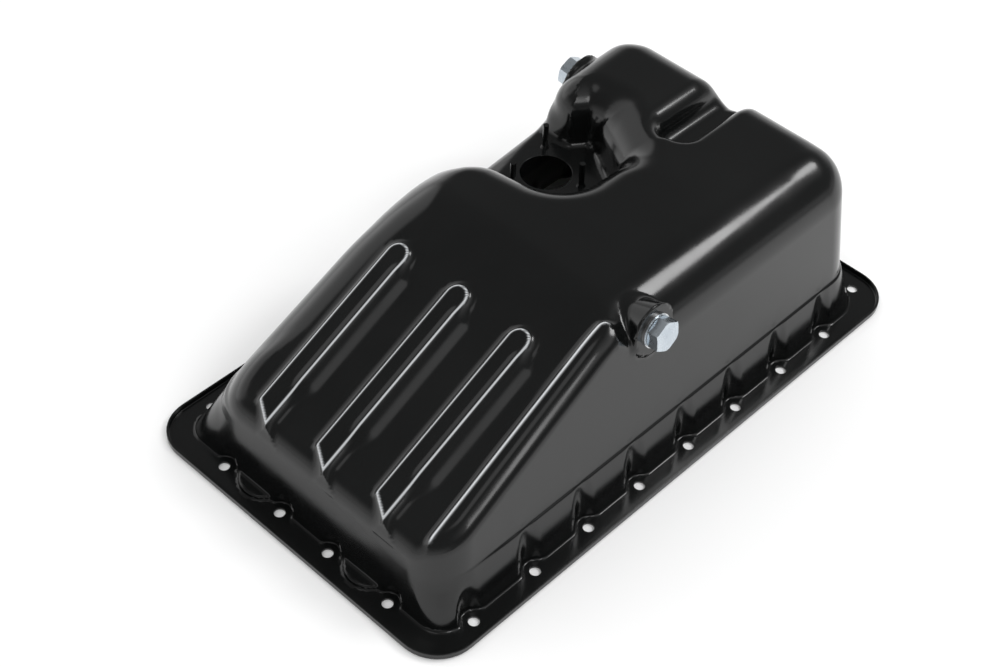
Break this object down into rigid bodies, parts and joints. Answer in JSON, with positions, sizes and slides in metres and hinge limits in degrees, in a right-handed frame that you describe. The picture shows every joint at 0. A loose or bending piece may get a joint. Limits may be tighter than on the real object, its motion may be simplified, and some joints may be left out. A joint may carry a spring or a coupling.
{
  "type": "engine oil pan",
  "caption": "Pressed steel oil pan: deep sump, ribbed sloping end, sensor recess with studs, bolt flange with upturned lip, and removable drain plugs with sealing washers",
  "frame": {"origin": "middle of the flange's underside, the face that meets the engine block", "axes": "+Z out of the sump's bottom, as the pan lies on its flange; +Y along the pan towards the deep end; +X towards the side with the drain plug in front of the middle"},
  "size_m": [0.33, 0.56, 0.1704],
  "materials": {
    "black_paint": "gloss black paint",
    "boss_paint": "gloss black paint",
    "stud_paint": "satin black paint",
    "washer_metal": "flat washer, satin",
    "plug_zinc": "bright zinc plating"
  },
  "bodies": {
    "pan": {"oil_pan": "black_paint", "plug_boss_right": "boss_paint", "plug_boss_left": "boss_paint", "sensor_stud_1": "stud_paint", "sensor_stud_2": "stud_paint", "sensor_stud_3": "stud_paint"},
    "washer_right": {"washer_right": "washer_metal"},
    "plug_right": {"drain_plug_right": "plug_zinc"},
    "washer_left": {"washer_left": "washer_metal"},
    "plug_left": {"drain_plug_left": "plug_zinc"}
  },
  "joints": [
    {"name": "washer_right_slide", "type": "slide", "parent": "pan", "child": "washer_right", "axis": [0.9945, 0, 0.1045], "range_m": [0, 0.0135]},
    {"name": "plug_right_turn", "type": "hinge", "parent": "washer_right", "child": "plug_right", "pos_m": [0.1306, -0.02, 0.148], "axis": [0.9945, 0, 0.1045], "range_deg": [0, 3240]},
    {"name": "washer_left_slide", "type": "slide", "parent": "pan", "child": "washer_left", "axis": [-0.9945, 0, 0.1045], "range_m": [0, 0.0135]},
    {"name": "plug_left_turn", "type": "hinge", "parent": "washer_left", "child": "plug_left", "pos_m": [-0.1312, 0.183, 0.129], "axis": [-0.9945, 0, 0.1045], "range_deg": [0, 3240]}
  ],
  "couplings": [
    {"joint": "washer_right_slide", "follows": "plug_right_turn", "m_per_rad": 0.00023873},
    {"joint": "washer_left_slide", "follows": "plug_left_turn", "m_per_rad": 0.00023873}
  ]
}
